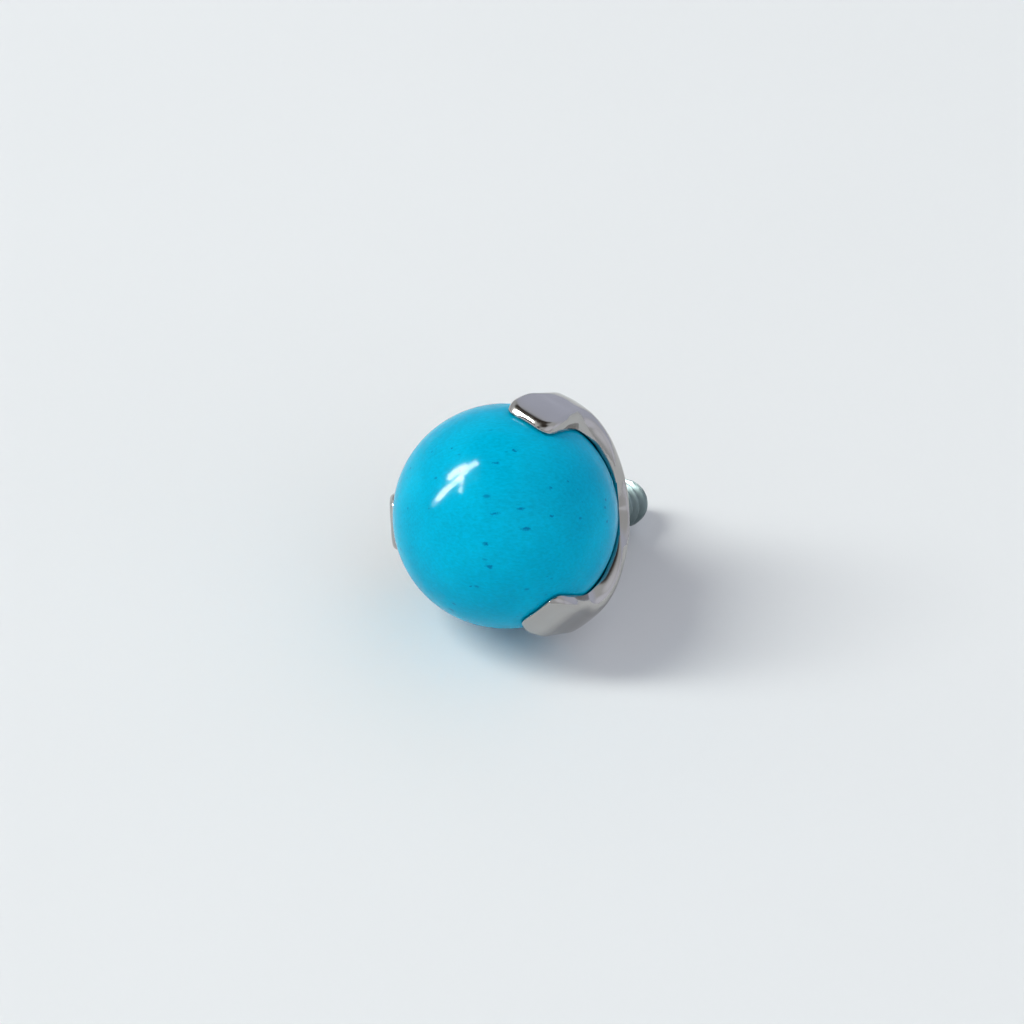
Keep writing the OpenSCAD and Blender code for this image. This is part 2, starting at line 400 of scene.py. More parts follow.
def thread_nodes():
    """Cuts a right-handed thread into a round blank that points along -Z."""
    sizes = [(label, "NodeSocketFloat") for label in ("Pitch", "Depth", "Crest", "Radius", "Start", "End")]
    tree, given = new_tree("cut_thread", sizes + [("Material", "NodeSocketMaterial")])
    place = add_node(tree, "GeometryNodeInputPosition")
    xyz = add_node(tree, "ShaderNodeSeparateXYZ", {0: place.outputs[0]}).outputs

    # How far a point is from the middle of the groove, from 0 there to 1 at the middle of the crest
    angle = add_node(tree, "ShaderNodeMath", {0: xyz["Y"], 1: xyz["X"]}, operation="ARCTAN2")
    turn = add_node(tree, "ShaderNodeMath", {0: angle.outputs[0], 1: 2 * math.pi}, operation="DIVIDE")
    height = add_node(tree, "ShaderNodeMath", {0: xyz["Z"], 1: given["Start"]}, operation="SUBTRACT")
    rise = add_node(tree, "ShaderNodeMath", {0: height.outputs[0], 1: given["Pitch"]}, operation="DIVIDE")
    wound = add_node(tree, "ShaderNodeMath", {0: rise.outputs[0], 1: turn.outputs[0]}, operation="SUBTRACT")
    phase = add_node(tree, "ShaderNodeMath", {0: wound.outputs[0]}, operation="FRACT")
    centred = add_node(tree, "ShaderNodeMath", {0: phase.outputs[0], 1: 0.5}, operation="SUBTRACT")
    half = add_node(tree, "ShaderNodeMath", {0: centred.outputs[0]}, operation="ABSOLUTE")
    slope = add_node(tree, "ShaderNodeMath", {0: half.outputs[0], 1: 2.0}, operation="MULTIPLY")

    # A V groove with a narrow flat bottom
    edge = add_node(tree, "ShaderNodeMath", {0: 1.0, 1: given["Crest"]}, operation="SUBTRACT")
    groove = add_node(tree, "ShaderNodeMapRange", {
        "Value": slope.outputs[0], "From Min": edge.outputs[0], "From Max": 0.06, "To Max": given["Depth"]})

    # It gets to its full depth over one pitch, and runs out over less
    full = add_node(tree, "ShaderNodeMath", {0: given["Start"], 1: given["Pitch"]}, operation="SUBTRACT")
    run_in = add_node(tree, "ShaderNodeMapRange", {
        "Value": xyz["Z"], "From Min": given["Start"], "From Max": full.outputs[0]})
    less = add_node(tree, "ShaderNodeMath", {0: given["Pitch"], 1: 0.7}, operation="MULTIPLY")
    last = add_node(tree, "ShaderNodeMath", {0: given["End"], 1: less.outputs[0]}, operation="ADD")
    run_out = add_node(tree, "ShaderNodeMapRange", {
        "Value": xyz["Z"], "From Min": given["End"], "From Max": last.outputs[0]})
    run = add_node(tree, "ShaderNodeMath", {
        0: run_in.outputs[0], 1: run_out.outputs[0]}, operation="MULTIPLY")
    depth = add_node(tree, "ShaderNodeMath", {0: groove.outputs[0], 1: run.outputs[0]}, operation="MULTIPLY")

    # Every point moves in towards the axis by its depth
    share = add_node(tree, "ShaderNodeMath", {0: depth.outputs[0], 1: given["Radius"]}, operation="DIVIDE")
    left = add_node(tree, "ShaderNodeMath", {0: 1.0, 1: share.outputs[0]}, operation="SUBTRACT")
    narrow = add_node(tree, "ShaderNodeCombineXYZ", {"X": left.outputs[0], "Y": left.outputs[0], "Z": 1.0})
    moved = add_node(tree, "ShaderNodeVectorMath", {
        0: place.outputs[0], 1: narrow.outputs[0]}, operation="MULTIPLY")
    cut = add_node(tree, "GeometryNodeSetPosition", {
        "Geometry": given["Geometry"], "Position": moved.outputs[0]})
    real = add_node(tree, "GeometryNodeRealizeInstances", {"Geometry": cut.outputs[0]})
    painted = add_node(tree, "GeometryNodeSetMaterial", {
        "Geometry": real.outputs[0], "Material": given["Material"]})
    add_node(tree, "NodeGroupOutput", {"Geometry": painted.outputs[0]})
    return tree


class SettingShape:
    """The claw setting's faces and edges in millimetres, for radius, height z and the angle phi from
    the middle of a claw."""

    # Spacing of the points along an edge and over a face
    EDGE_STEP = 0.03
    LATTICE = 0.045
    # Below this height the cup is plainly round, in this many columns for each claw
    CUP_Z = -1.60
    COLUMNS = 40
    # Rows of points beside an edge of each face, as shares of its rounding's width, and rows beside a crease
    OUTER_RINGS = (0.03, 0.09, 0.18, 0.30, 0.44, 0.58, 0.70, 0.80, 0.90, 1.0)
    INNER_RINGS = (0.1, 0.35, 0.65, 1.0)
    CREASE_ROWS = np.array([0.005, 0.015, 0.03, 0.045])
    # The angle beside a seam between two claws that has no loose points
    SEAM_MARGIN = 0.008
    # The tables that hold the faces: angles behind the ball's middle in degrees, and how many there are
    OUTER_ANGLES = -24, 50, 600
    INNER_ANGLES = -24, 90, 1200
    # The angle behind the elbow over which the inner face comes back to the ball
    SEAT_AFTER = math.radians(3)

    # Most that an outer edge is rounded down, and the thinnest wall that is left
    EDGE_DEPTH = 0.30
    THINNEST = 0.01
    # Front view of a claw: heights where its pad is widest, its neck narrowest, and where it starts
    # to spread to the rim, over a soft start. The powers shape the spread and the pad's corners.
    PAD_Z, NECK_Z, SPREAD_Z = 0.28, -0.40, -0.55
    SPREAD_SOFT, SPREAD_POWER, CAP_POWER = 0.22, 1.10, 3.3
    # The claw is filed flat above the first height and left round below the second
    FLAT_Z = -0.05, -0.55
    # How softly the elbow and the bevel's crease are rounded
    ELBOW_SOFT, BEVEL_SOFT = 0.12, 0.02

    def __init__(self, p):
        self.ball = BALL_HIGH.x / MM
        self.half = math.pi / p.claws
        self.p = {name: getattr(p, name) / MM for name in (
            "seat_gap", "tip_thickness", "middle_height", "elbow_gap", "elbow_thickness",
            "pad_width", "neck_width", "rim_radius", "bevel_from",
            "side_rounding", "neck_rounding", "rim_rounding")}
        reach, bend = p.tip_reach, p.elbow_angle
        tip_in = self.ball + self.p["seat_gap"]
        tip_out = tip_in + self.p["tip_thickness"]
        bend_in = self.ball + self.p["elbow_gap"]
        bend_out = bend_in + self.p["elbow_thickness"]
        self.bevel = math.tan(p.bevel_angle)

        # Outer face: a claw that thickens from its tip to the ball's middle and then less to its elbow,
        # and the cup's cone
        a = np.radians(np.linspace(*self.OUTER_ANGLES))
        bulge = np.polyfit([-reach, 0, bend], [tip_out, self.ball + self.p["middle_height"], bend_out], 2)
        r = np.polyval(bulge, a)
        self.face = (-r * np.sin(a))[::-1], (r * np.cos(a))[::-1]
        self.elbow = bend_out * math.cos(bend), -bend_out * math.sin(bend)
        self.slope = (self.elbow[0] - FOOT_R) / (self.elbow[1] - FOOT_Z)

        # Inner face: a claw, which touches the ball less towards its elbow, then the round seat
        a = np.radians(np.linspace(*self.INNER_ANGLES))
        r = np.interp(a, [-reach, bend, bend + self.SEAT_AFTER], [tip_in, bend_in, tip_in])
        self.seat = (-r * np.sin(a))[::-1], (r * np.cos(a))[::-1]

        self.rim_z = self.elbow[1] - (self.elbow[0] - self.p["rim_radius"]) / self.slope
        self.tip = tip_out * math.sin(reach)

    def outer(self, z):
        face = np.interp(z, *self.face)
        cone = self.elbow[0] + (z - self.elbow[1]) * self.slope
        blend = np.maximum(self.ELBOW_SOFT - np.abs(face - cone), 0) / self.ELBOW_SOFT
        return np.minimum(face, cone) - blend ** 2 * self.ELBOW_SOFT / 4

    def inner(self, z):
        return np.interp(z, *self.seat)

    def half_width(self, z):
        """Half the width of a claw in its front view at height z, up to its tip."""
        pad, neck = self.p["pad_width"] / 2, self.p["neck_width"] / 2
        side = neck + (pad - neck) * smooth(self.NECK_Z, self.PAD_Z, z)
        below = soft_above(self.SPREAD_Z - z, self.SPREAD_SOFT)
        u = np.clip(below / (self.SPREAD_Z - self.rim_z), 0, 1)
        spread = (self.p["rim_radius"] * math.sin(self.half) - neck) * (
            1 - (1 - u ** self.SPREAD_POWER) ** (1 / self.SPREAD_POWER))
        v = np.clip((z - self.PAD_Z) / (self.tip - self.PAD_Z), 0, 1)
        cap = pad * (1 - v ** self.CAP_POWER) ** (1 / self.CAP_POWER)
        return np.where(z < self.PAD_Z, side + spread, cap)

    def outline(self):
        """Angle and height of evenly spaced points on a claw's edge, from one rim over its tip to the
        other."""
        t = np.linspace(0, math.pi / 2, 400)
        spread = self.rim_z + (self.SPREAD_Z - self.rim_z) * (1 - np.cos(t))
        side = np.linspace(self.SPREAD_Z, self.PAD_Z, 200)[1:]
        cap = self.PAD_Z + (self.tip - self.PAD_Z) * np.sin(t[1:]) ** (2 / self.CAP_POWER)
        z = np.concatenate([spread, side, cap])
        x = np.concatenate([self.half_width(spread), self.half_width(side),
                            self.p["pad_width"] / 2 * np.cos(t[1:]) ** (2 / self.CAP_POWER)])
        x = np.concatenate([-x, x[-2::-1]])
        z = np.concatenate([z, z[-2::-1]])
        phi = np.arcsin(np.clip(x / self.outer(z), -1, 1))
        r = self.outer(z)
        space = np.stack([r * np.sin(phi), r * np.cos(phi), z], 1)
        length = np.concatenate([[0], np.cumsum(np.linalg.norm(np.diff(space, axis=0), axis=1))])
        count = 2 * round(length[-1] / self.EDGE_STEP / 2)
        even = np.linspace(0, length[-1], count + 1)
        phi, z = np.interp(even, length, phi), np.interp(even, length, z)
        phi[0], phi[-1] = -self.half, self.half
        z[0] = z[-1] = self.rim_z
        return phi, z

    def metric(self, z, radius):
        """Millimetres on a face for each radian of angle and each millimetre of height."""
        step = 0.01
        rise = (radius(z + step) - radius(z - step)) / (2 * step)
        return radius(z), np.sqrt(1 + rise ** 2)

    def edge_distance(self, phi, z, edge, radius):
        """Distance on a face from points to the edge, and the height of the nearest point on it."""
        across, along = self.metric(z, radius)
        ex, ez = self.with_neighbours(*edge)
        px, pz = (phi * across)[:, None], (z * along)[:, None]
        ax, az = ex[None, :-1] * across[:, None], ez[None, :-1] * along[:, None]
        dx, dz = ex[None, 1:] * across[:, None] - ax, ez[None, 1:] * along[:, None] - az
        t = np.clip(((px - ax) * dx + (pz - az) * dz) / np.maximum(dx ** 2 + dz ** 2, 1e-12), 0, 1)
        gap = np.hypot(px - ax - t * dx, pz - az - t * dz)
        best = gap.argmin(1)
        rows = np.arange(len(best))
        near = ez[best] + (ez[best + 1] - ez[best]) * t[rows, best]
        return gap[rows, best], near

    def with_neighbours(self, phi, z, count=12):
        """The edge with the first points of the two next claws' edges at its ends."""
        left = -2 * self.half - phi[1:count + 1][::-1]
        right = 2 * self.half - phi[-count - 1:-1][::-1]
        return (np.concatenate([left, phi, right]),
                np.concatenate([z[1:count + 1][::-1], z, z[-count - 1:-1][::-1]]))

    def rounding(self, z):
        """Width and depth of the rounded outer edge where the edge is at height z."""
        rim, neck, side = self.p["rim_rounding"], self.p["neck_rounding"], self.p["side_rounding"]
        # From the rim up to the tip: height, width and share of the wall that is rounded away
        at, widths, shares = zip(
            (self.rim_z, rim, 0.92),
            (self.rim_z + 0.15, rim, 0.92),
            (-0.75, neck, 0.90),
            (-0.45, neck, 0.90),
            (0.10, side, 0.60),
            (0.48, side, 0.55),
            (0.58, 1.3 * side, 0.60))
        wall = np.minimum(self.outer(z) - self.inner(z), self.EDGE_DEPTH)
        return np.interp(z, at, widths), np.interp(z, at, shares) * wall

    def inner_soft(self, z):
        """Size of the rounded inner edge where the edge is at height z."""
        return np.interp(z, [0.1, 0.6], [0.015, 0.05])

    def drop(self, phi, z, distance, near):
        """How far the outer face falls below its full radius: the rounded edge, the tip's bevel and
        the filed flat."""
        width, depth = self.rounding(near)
        u = np.clip(1 - distance / width, 0, 1)
        # The rim's edge is a straight slant, and a claw's edges are round
        slant = 1 - smooth(self.rim_z + 0.1, self.rim_z + 0.45, near)
        straight = soft_above(u - 0.2, 0.2) / 0.8
        edge = depth * (slant * straight + (1 - slant) * (1 - np.sqrt(1 - u ** 2)))
        # The file takes the outer face down to the height that it has at the pad's sides
        r = self.outer(z)
        reach = self.p["pad_width"] / 2 / r
        side = np.minimum(np.abs(phi), np.arcsin(reach))
        flat = r * (np.cos(side) - np.sqrt(1 - reach ** 2)) * smooth(*self.FLAT_Z[::-1], z)
        # The bevel eases off a little towards the tip
        over = soft_above(z - self.p["bevel_from"], self.BEVEL_SOFT)
        bevel = over * self.bevel * (1 - 0.9 * over)
        total = np.maximum(edge, bevel) + 0.25 * np.minimum(edge, bevel) + flat
        return np.minimum(total, r - self.inner(z) - self.inner_soft(near) - self.THINNEST)

    def aim(self, phi):
        """Direction of the cut at an angle: straight in on a claw, and towards the axis on the rim."""
        return phi * smooth(math.radians(20), math.radians(55), np.abs(phi))

    def on_face(self, radius, phi, z, out):
        """Points on a face, moved out from it along the direction of the cut."""
        r, aim = radius(z), self.aim(phi)
        return np.stack([r * np.sin(phi) + out * np.sin(aim), r * np.cos(phi) + out * np.cos(aim), z], 1)

    def inner_edge(self, phi, z):
        """Where the cut through the edge of the outer face meets the inner face."""
        r, aim = self.outer(z), self.aim(phi)
        px, py = r * np.sin(phi), r * np.cos(phi)
        dx, dy = np.sin(aim), np.cos(aim)
        b = px * dx + py * dy
        t = b - np.sqrt(b ** 2 - px ** 2 - py ** 2 + self.inner(z) ** 2)
        return np.arctan2(px - t * dx, py - t * dy)

    def sheet(self, edge, radius, width, rings, step, creases=()):
        """Triangulates one face of the sector between its edge and the row at CUP_Z. Gives angle, height
        and edge distance of each point, the height of the edge nearest to it, and the triangles. The edge's
        points come first, and then the row at CUP_Z from right to left."""
        phi, z = edge
        across, along = self.metric(z, radius)
        ex, ez = self.with_neighbours(phi, z, 1)
        tx, tz = (ex[2:] - ex[:-2]) * across, (ez[2:] - ez[:-2]) * along
        size = np.hypot(tx, tz)
        nx, nz = tz / size, -tx / size

        # Rows beside the edge, less what comes too near another stretch of it
        seam_z = []
        loose_phi, loose_z = [], []
        for g in rings:
            off = width * g
            ring_phi, ring_z = phi + nx * off / across, z + nz * off / along
            gap, _ = self.edge_distance(ring_phi, ring_z, edge, radius)
            keep = (gap > 0.96 * off) & (np.abs(ring_phi) < self.half - self.SEAM_MARGIN)
            loose_phi.append(ring_phi[keep])
            loose_z.append(ring_z[keep])
            seam_z.append(z[0] - off[0] / along[0])
        below = np.linspace(seam_z[-1], self.CUP_Z, max(3, round((seam_z[-1] - self.CUP_Z) / step)))[1:-1]
        seam_z = np.concatenate([seam_z, below])

        # Rows over the rest of the face, closer together at a crease
        rows = np.arange(self.CUP_Z + step, self.tip, step)
        for crease in creases:
            fine = self.CREASE_ROWS
            rows = np.concatenate([rows[np.abs(rows - crease) > 0.05], crease - fine[::-1], crease + fine])
        # They stop a little short of the seams
        spread = self.half * 0.985
        for i, row in enumerate(sorted(rows)):
            count = round(2 * spread * radius(row) / step)
            line = np.linspace(-spread, spread, count + 1 + i % 2)
            if row > z[0]:
                line = line[radius(row) * np.abs(np.sin(line)) < self.half_width(row)]
            height = np.full(len(line), row)
            gap, near = self.edge_distance(line, height, edge, radius)
            keep = gap > np.interp(near, *self.by_height(z, width)) * rings[-1] + 0.3 * step
            loose_phi.append(line[keep])
            loose_z.append(height[keep])

        # The border: the edge, down the right seam, back along the row at CUP_Z and up the left seam
        row_phi = np.linspace(self.half, -self.half, self.COLUMNS + 1)
        row_z = np.full(len(row_phi), self.CUP_Z)
        right_phi, left_phi = np.full(len(seam_z), self.half), np.full(len(seam_z), -self.half)
        all_phi = np.concatenate([phi, row_phi, right_phi, left_phi] + loose_phi)
        all_z = np.concatenate([z, row_z, seam_z, seam_z] + loose_z)
        n, m, s = len(phi), len(row_phi), len(seam_z)
        loop = (list(range(n)) + list(range(n + m, n + m + s)) + list(range(n, n + m))
                + list(range(n + m + 2 * s - 1, n + m + s - 1, -1)))
        # Laid flat as on a cylinder of the ball's size
        flat = [Vector((a * 2, b)) for a, b in zip(all_phi, all_z)]
        _, _, faces, source, _, _ = delaunay_2d_cdt(flat, [], [loop], 1, 1e-7)
        faces = [[source[i][0] for i in face] for face in faces]
        gap, near = self.edge_distance(all_phi, all_z, edge, radius)
        gap[:n] = 0
        return all_phi, all_z, gap, near, faces

    @staticmethod
    def by_height(z, width):
        """Heights in rising order, with their widths."""
        order = np.argsort(z)
        return z[order], width[order]

    def sector(self):
        """Points and faces of one claw with its share of the cup and collar."""
        edge = self.outline()
        width, _ = self.rounding(edge[1])
        phi, z, gap, near, faces = self.sheet(
            edge, self.outer, width, self.OUTER_RINGS, self.LATTICE, creases=[self.p["bevel_from"]])
        points = self.on_face(self.outer, phi, z, -self.drop(phi, z, gap, near))
        outer_row = list(range(len(edge[0]), len(edge[0]) + self.COLUMNS + 1))

        inner = self.inner_edge(*edge), edge[1]
        phi, z, gap, near, more = self.sheet(
            inner, self.inner, self.inner_soft(inner[1]), self.INNER_RINGS, 2 * self.LATTICE)
        u = np.clip(1 - gap / self.inner_soft(near), 0, 1)
        lift = self.inner_soft(near) * (1 - np.sqrt(1 - u ** 2))
        first = len(points)
        points = np.concatenate([points, self.on_face(self.inner, phi, z, lift)])
        faces += [[first + i for i in face] for face in more]
        inner_row = [first + i for i in outer_row]
        faces += [[i, i + 1, first + i + 1, first + i] for i in range(len(edge[0]) - 1)]

        points = [tuple(p) for p in points]
        columns = np.linspace(self.half, -self.half, self.COLUMNS + 1)
        top = float(self.outer(self.CUP_Z)), self.CUP_Z
        profile = rounded([
            top, (FOOT_R, FOOT_Z, 0.03), (COLLAR_R, FOOT_Z, 0.03), (COLLAR_R, SHOULDER_Z, 0.045),
            (SINK_R, SHOULDER_Z, 0.03), (HOLE_R, SINK_Z, 0.02), (HOLE_R, HOLE_TOP_Z, 0.02), (0, HOLE_TOP_Z)])
        cone = [top] + [(top[0] + (profile[1][0] - top[0]) * t, top[1] + (profile[1][1] - top[1]) * t)
                        for t in np.linspace(0, 1, 8)[1:-1]]
        self.turn_down(points, faces, outer_row, cone[1:] + profile[1:], columns)
        seat = self.inner(self.CUP_Z), self.CUP_Z
        start = math.atan2(-seat[1], seat[0])
        radius = self.ball + self.p["seat_gap"]
        round_seat = [(radius * math.cos(a), -radius * math.sin(a))
                      for a in np.linspace(start, math.pi / 2, 12)[1:-1]]
        self.turn_down(points, faces, inner_row, round_seat + [(0, -radius)], columns)
        return points, faces

    @staticmethod
    def turn_down(points, faces, row, profile, columns):
        """Continues a row of points down a profile of radius and height, around the axis."""
        for radius, height in profile:
            if radius < 1e-6:
                points.append((0, 0, height))
                new = [len(points) - 1] * len(columns)
            else:
                new = list(range(len(points), len(points) + len(columns)))
                points += [(radius * math.sin(a), radius * math.cos(a), height) for a in columns]
            for i in range(len(columns) - 1):
                faces.append(list(dict.fromkeys([row[i], row[i + 1], new[i + 1], new[i]])))
            row = new


def millimetres(name, description, value):
    """A length that a user can change, with its default in millimetres."""
    return bpy.props.FloatProperty(
        name=name, description=description, default=value * MM, subtype="DISTANCE", unit="LENGTH",
        precision=6)


def degrees(name, description, value):
    """An angle that a user can change, with its default in degrees."""
    return bpy.props.FloatProperty(
        name=name, description=description, default=math.radians(value), subtype="ANGLE", unit="ROTATION")


def hex_colour(name, description, code):
    """A colour that a user can change, with its default as sRGB hex."""
    return bpy.props.FloatVectorProperty(
        name=name, description=description, default=linear(code), size=4, min=0, max=1, subtype="COLOR")


class PIERCING_ball_sizes(bpy.types.PropertyGroup):
    diameter: millimetres("Diameter", "Diameter of the ball", (BALL_HIGH.x - BALL_LOW.x) / MM)
    waviness: millimetres("Waviness", "How far the polish leaves the ball from truly round", 0.0006)
    deep: hex_colour("Deep colour", "Stone where it is deepest", "#00A3C8")
    pale: hex_colour("Pale colour", "Stone where it is palest", "#00B0D5")
    speck: hex_colour("Speck colour", "Specks in the stone", "#005C92")


class PIERCING_setting_sizes(bpy.types.PropertyGroup):
    claws: bpy.props.IntProperty(name="Claws", description="Number of claws", default=3, min=2)
    tip_reach: degrees("Tip reach", "Angle that a claw's tip reaches past the ball's middle", 18)
    elbow_angle: degrees("Elbow", "Angle behind the ball's middle at which the claws bend", 23)
    bevel_angle: degrees("Tip bevel", "Slope of the polished bevel on a claw's tip", 24)
    seat_gap: millimetres("Seat gap", "Gap between the ball and its seat", 0.012)
    elbow_gap: millimetres("Elbow gap", "Gap between the ball and a claw's elbow", 0.03)
    tip_thickness: millimetres("Tip thickness", "Thickness of a claw at its tip", 0.165)
    middle_height: millimetres(
        "Middle height", "Height of a claw's outer face above the ball's middle", 0.315)
    elbow_thickness: millimetres("Elbow thickness", "Thickness of a claw at its elbow", 0.36)
    pad_width: millimetres("Pad width", "Width across a claw's flared pad", 1.03)
    neck_width: millimetres("Neck width", "Width of a claw behind its pad", 0.94)
    rim_radius: millimetres("Rim radius", "Radius of the cup's rim midway between two claws", 1.80)
    bevel_from: millimetres(
        "Bevel start", "Height above the ball's middle at which the tip's bevel starts", 0.59)
    side_rounding: millimetres("Pad rounding", "Width of the rounded edge on a pad's sides", 0.11)
    neck_rounding: millimetres("Neck rounding", "Width of the rounded edge on a claw's neck", 0.27)
    rim_rounding: millimetres("Rim rounding", "Width of the rounded edge on the cup's rim", 0.28)
    light: hex_colour("Light metal", "Polished metal at its lightest", "#B4B2B0")
    shade: hex_colour("Dark metal", "Polished metal at its darkest", "#A6A4A2")


class PIERCING_post_sizes(bpy.types.PropertyGroup):
    radius: millimetres("Radius", "Outer radius of the thread", THREAD["dims"]["r_mm"])
    pitch: millimetres("Pitch", "Pitch of the thread", 0.225)
    depth: millimetres("Depth", "Depth of the thread's groove", 0.135)
    crest: bpy.props.FloatProperty(
        name="Crest", description="Share of the pitch that is flat crest", default=0.125, min=0, max=1,
        subtype="FACTOR")
    # Both tones are painted darker and greener than cut steel: painted shade standing in for the dark
    # reflection that the post shows
    light: hex_colour("Light metal", "Cut metal at its lightest", "#829092")
    shade: hex_colour("Dark metal", "Cut metal at its darkest", "#647475")


class PIERCING_stage_sizes(bpy.types.PropertyGroup):
    azimuth: degrees("Azimuth", "Camera's angle round the part", 36.2)
    elevation: degrees("Elevation", "Camera's angle above the floor", 39.4)
    roll: degrees("Roll", "Camera's turn about its own line of sight", 6.7)
    distance: millimetres("Distance", "From the camera to the ball", 150)
    floor: hex_colour("Floor", "Colour of the matt floor", "#E6E8E9")


def camera_axes(p):
    """The camera's right and up, and the direction back from the part to the camera."""
    a, e = p.azimuth, p.elevation
    back = Vector((math.sin(a) * math.cos(e), -math.cos(a) * math.cos(e), math.sin(e)))
    side = Vector((math.cos(a), math.sin(a), 0))
    above = back.cross(side)
    turned = side * math.cos(p.roll) + above * math.sin(p.roll)
    return turned, above * math.cos(p.roll) - side * math.sin(p.roll), back


class PIERCING_OT_ball(bpy.types.Operator):
    """Build the polished turquoise ball"""
    bl_idname = "piercing.ball"
    bl_label = "Turquoise ball"

    def execute(self, context):
        p = context.scene.piercing_ball
        bm = bmesh.new()
        bmesh.ops.create_cube(bm, size=2)
        bmesh.ops.subdivide_edges(bm, edges=bm.edges, cuts=BALL_ROWS - 1, use_grid_fill=True)
        for vert in bm.verts:
            # Even out the cube's grid before it is blown up to a ball
            direction = Vector([math.tan(c * math.pi / 4) for c in vert.co]).normalized()
            # The polish leaves waves about 0.9 mm across
            wave = noise.noise(direction * 2.3) * p.waviness
            vert.co = direction * (p.diameter / 2 + wave - p.waviness)
        bmesh.ops.recalc_face_normals(bm, faces=bm.faces)
        mesh = bpy.data.meshes.new("turquoise_ball_looks")
        bm.to_mesh(mesh)
        bm.free()
        link("turquoise_ball", mesh, polished_turquoise(p))
        return {"FINISHED"}


class PIERCING_OT_setting(bpy.types.Operator):
    """Build the claw setting: one claw in mesh code, repeated around the axis"""
    bl_idname = "piercing.setting"
    bl_label = "Claw setting"

    def execute(self, context):
        p = context.scene.piercing_setting
        steel = polished_steel(p)
        claw = mesh_from("claw", *SettingShape(p).sector())
        mesh = run_nodes(claw, claw_ring_nodes(), {
            "Claws": p.claws, "Weld distance": WELD, "Material": steel})
        close_up(mesh)
        link("claw_setting", mesh, steel)
        return {"FINISHED"}


class PIERCING_OT_post(bpy.types.Operator):
    """Build the threaded post: a turned blank with its thread cut by Geometry Nodes"""
    bl_idname = "piercing.post"
    bl_label = "Threaded post"

    def execute(self, context):
        p = context.scene.piercing_post
        radius = p.radius / MM
        shank = HOLE_R - POST_GAP
        top = HOLE_TOP_Z - POST_GAP
        start = SHOULDER_Z - POST_GAP
        end = start - THREAD["dims"]["length_mm"] - POST_CHAMFER
        plain = end + 0.2
        head = rounded([(0, top), (shank, top, 0.02), (shank, SINK_Z - POST_GAP, 0.01),
                        (radius, start, 0.01), (radius, start - 0.05)], steps=2)
        foot = rounded([(radius, plain), (radius, end + POST_CHAMFER, 0.015),
                        (radius - POST_CHAMFER, end, 0.02), (0, end)], steps=3)
        thread = [(radius, z) for z in np.arange(start - 0.06, plain, -THREAD_ROW)]
        flat = [(foot[-2][0] * t, end) for t in (0.8, 0.5, 0.2)]
        mesh = mesh_from("post", *lathe(head + thread + foot[:-1] + flat + [foot[-1]], POST_TURNS))
        steel = satin_steel(p)
        mesh = run_nodes(mesh, thread_nodes(), {
            "Pitch": p.pitch, "Depth": p.depth, "Crest": p.crest, "Radius": p.radius,
            "Start": (start - 0.03) * MM, "End": end * MM, "Material": steel})
        close_up(mesh)
        link("threaded_post", mesh, steel)
        return {"FINISHED"}


# The window as seen from the ball: the directions that each pane reaches between, its width in degrees,
# its radiance, whether it lights the scene and whether it shows in what is glossy
WINDOW = [
    ("window", (-0.62, -0.65, 0.44), (-0.33, -0.35, 0.88), 12, 17.0, True, False),
    ("window_low", (-0.707, -0.667, 0.234), (-0.574, -0.501, 0.648), 6, 220.0, False, True),
    ("window_high", (-0.580, -0.515, 0.632), (-0.498, -0.177, 0.849), 6, 220.0, False, True),
    ("window_pane", (-0.728, -0.470, 0.499), (-0.601, -0.269, 0.753), 8, 220.0, False, True),
    ("window_leg", (-0.533, -0.470, 0.703), (-0.439, -0.668, 0.601), 4, 165.0, False, True),
    ("window_tail", (-0.710, -0.668, 0.223), (-0.742, -0.660, 0.100), 5, 35.0, False, True),
]

# Patches of the studio that the metal mirrors: direction, inner and outer angle in degrees, and tone
PATCHES = [
    ((-0.44, 0.12, 0.88), 13, 28, "#3E3630"),
    ((-0.05, -0.25, 0.97), 9, 22, "#3E3630"),
    ((-0.10, 0.95, 0.15), 30, 60, "#D6DBEE"),
    ((0.74, -0.31, 0.60), 15, 35, "#F4F6FF"),
    ((0.89, 0.42, 0.19), 12, 30, "#F0F2FF"),
    ((-0.456, -0.884, 0.107), 4, 12, "#FFFFFF"),
]


